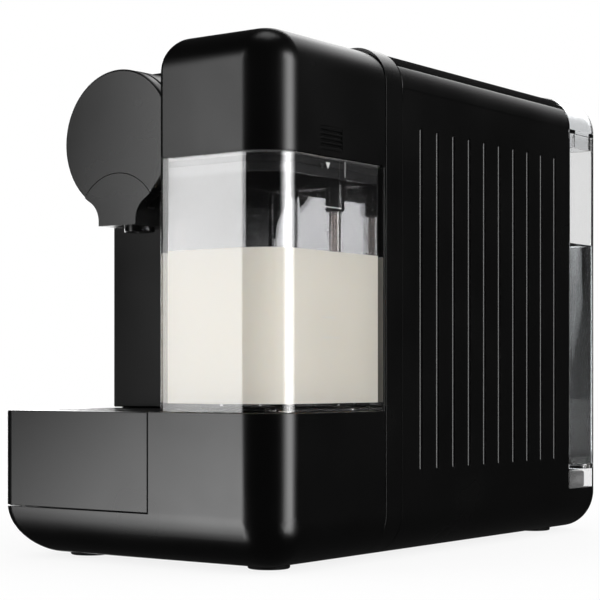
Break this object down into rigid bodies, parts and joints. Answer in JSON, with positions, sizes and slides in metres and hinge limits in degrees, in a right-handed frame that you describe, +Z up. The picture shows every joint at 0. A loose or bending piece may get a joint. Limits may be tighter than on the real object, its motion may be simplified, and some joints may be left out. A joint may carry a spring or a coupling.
{
  "type": "pod coffee machine",
  "caption": "Pod coffee machine with a lever brew head over a cup niche, a clear milk container at the front, a drip drawer with capsule bin, and a clear water tank at the back.",
  "frame": {"origin": "on the table under the middle of the machine", "axes": "+Z up, -Y towards the user at the front, +X to the right as the user faces the machine, where the milk module is"},
  "size_m": [0.18, 0.3312, 0.2642],
  "materials": {
    "satin_black_plastic": "satin black moulded plastic with a fine grain",
    "gloss_black_plastic": "polished black plastic",
    "dark_grey_plastic": "satin dark grey plastic",
    "clear_plastic": "clear polished plastic",
    "black_rubber": "soft black rubber",
    "steel": "ground steel",
    "cast_aluminium": "cast aluminium",
    "circuit_board": "green circuit board",
    "white_plastic": "natural white plastic",
    "silicone": "translucent silicone"
  },
  "bodies": {
    "machine": {"front_base": "satin_black_plastic", "chassis_base": "satin_black_plastic", "feet": "black_rubber", "cord_gland": "black_rubber", "ring_frame": "satin_black_plastic", "niche_panel": "satin_black_plastic", "right_side_panel": "satin_black_plastic", "left_side_panel": "satin_black_plastic", "shoulder_rails": "satin_black_plastic", "top_cover": "gloss_black_plastic", "rear_bulkhead": "satin_black_plastic", "control_panel": "gloss_black_plastic", "control_board": "circuit_board", "brew_housing": "satin_black_plastic", "spout_neck": "dark_grey_plastic", "dispensing_nozzle": "satin_black_plastic", "coffee_channel": "white_plastic", "milk_channel": "silicone", "milk_dock": "dark_grey_plastic", "hinge_pin": "steel", "brew_frame": "white_plastic", "capsule_seat": "white_plastic", "capsule_chute": "satin_black_plastic", "tank_socket": "satin_black_plastic", "flow_meter": "white_plastic", "pump": "satin_black_plastic", "pump_mounts": "black_rubber", "thermoblock": "cast_aluminium", "steam_valve": "satin_black_plastic", "suction_hose": "silicone", "pump_hose": "silicone", "pressure_hose": "silicone", "brew_hose": "silicone", "steam_pipe": "silicone"},
    "brew_lever": {"lever_disc": "dark_grey_plastic", "lever_shell": "satin_black_plastic", "lever_cams": "steel"},
    "piston": {"brew_piston": "white_plastic", "piston_pin": "steel", "piston_seal": "black_rubber"},
    "milk_container": {"milk_tank": "clear_plastic"},
    "milk_lid": {"milk_lid": "satin_black_plastic", "lid_insert": "satin_black_plastic", "seal_ring": "black_rubber", "froth_unit": "dark_grey_plastic", "suction_tube": "silicone"},
    "release_right": {"release_button_right": "satin_black_plastic"},
    "release_left": {"release_button_left": "satin_black_plastic"},
    "drip_drawer": {"drip_drawer": "satin_black_plastic", "capsule_bin": "satin_black_plastic"},
    "drip_grid": {"drip_grid": "satin_black_plastic"},
    "water_tank": {"water_tank": "clear_plastic"},
    "tank_lid": {"tank_lid": "clear_plastic"},
    "tank_valve": {"tank_valve": "white_plastic"},
    "button_1": {"drink_button_1": "dark_grey_plastic"},
    "button_2": {"drink_button_2": "dark_grey_plastic"},
    "button_3": {"drink_button_3": "dark_grey_plastic"},
    "button_4": {"drink_button_4": "dark_grey_plastic"},
    "button_5": {"drink_button_5": "dark_grey_plastic"},
    "button_6": {"drink_button_6": "dark_grey_plastic"}
  },
  "joints": [
    {"name": "lever_hinge", "type": "hinge", "parent": "machine", "child": "brew_lever", "pos_m": [-0.0337, -0.0211, 0.248], "axis": [-1, 0, 0], "range_deg": [0, 60]},
    {"name": "piston_slide", "type": "slide", "parent": "machine", "child": "piston", "axis": [0, 1, 0], "range_m": [0, 0.014]},
    {"name": "milk_container_slide", "type": "slide", "parent": "machine", "child": "milk_container", "axis": [0, -1, 0], "range_m": [0, 0.11]},
    {"name": "milk_lid_lift", "type": "slide", "parent": "milk_container", "child": "milk_lid", "axis": [0, 0, 1], "range_m": [0, 0.125]},
    {"name": "release_right_press", "type": "slide", "parent": "milk_lid", "child": "release_right", "axis": [-1, 0, 0], "range_m": [0, 0.0015], "stiffness_N_per_m": 600},
    {"name": "release_left_press", "type": "slide", "parent": "milk_lid", "child": "release_left", "axis": [1, 0, 0], "range_m": [0, 0.0015], "stiffness_N_per_m": 600},
    {"name": "drawer_slide", "type": "slide", "parent": "machine", "child": "drip_drawer", "axis": [0, -1, 0], "range_m": [0, 0.172]},
    {"name": "grid_lift", "type": "slide", "parent": "drip_drawer", "child": "drip_grid", "axis": [0, 0, 1], "range_m": [0, 0.06]},
    {"name": "water_tank_lift", "type": "slide", "parent": "machine", "child": "water_tank", "axis": [0, 0, 1], "range_m": [0, 0.24]},
    {"name": "tank_lid_hinge", "type": "hinge", "parent": "water_tank", "child": "tank_lid", "pos_m": [0, 0.1628, 0.2444], "axis": [-1, 0, 0], "range_deg": [0, 90]},
    {"name": "tank_valve_lift", "type": "slide", "parent": "water_tank", "child": "tank_valve", "axis": [0, 0, 1], "range_m": [0, 0.0025], "stiffness_N_per_m": 300},
    {"name": "button_1_press", "type": "slide", "parent": "machine", "child": "button_1", "axis": [0, 0, -1], "range_m": [0, 0.0015], "stiffness_N_per_m": 800},
    {"name": "button_2_press", "type": "slide", "parent": "machine", "child": "button_2", "axis": [0, 0, -1], "range_m": [0, 0.0015], "stiffness_N_per_m": 800},
    {"name": "button_3_press", "type": "slide", "parent": "machine", "child": "button_3", "axis": [0, 0, -1], "range_m": [0, 0.0015], "stiffness_N_per_m": 800},
    {"name": "button_4_press", "type": "slide", "parent": "machine", "child": "button_4", "axis": [0, 0, -1], "range_m": [0, 0.0015], "stiffness_N_per_m": 800},
    {"name": "button_5_press", "type": "slide", "parent": "machine", "child": "button_5", "axis": [0, 0, -1], "range_m": [0, 0.0015], "stiffness_N_per_m": 800},
    {"name": "button_6_press", "type": "slide", "parent": "machine", "child": "button_6", "axis": [0, 0, -1], "range_m": [0, 0.0015], "stiffness_N_per_m": 800}
  ],
  "couplings": [
    {"joint": "piston_slide", "follows": "lever_hinge", "m_per_rad": 0.013369}
  ]
}
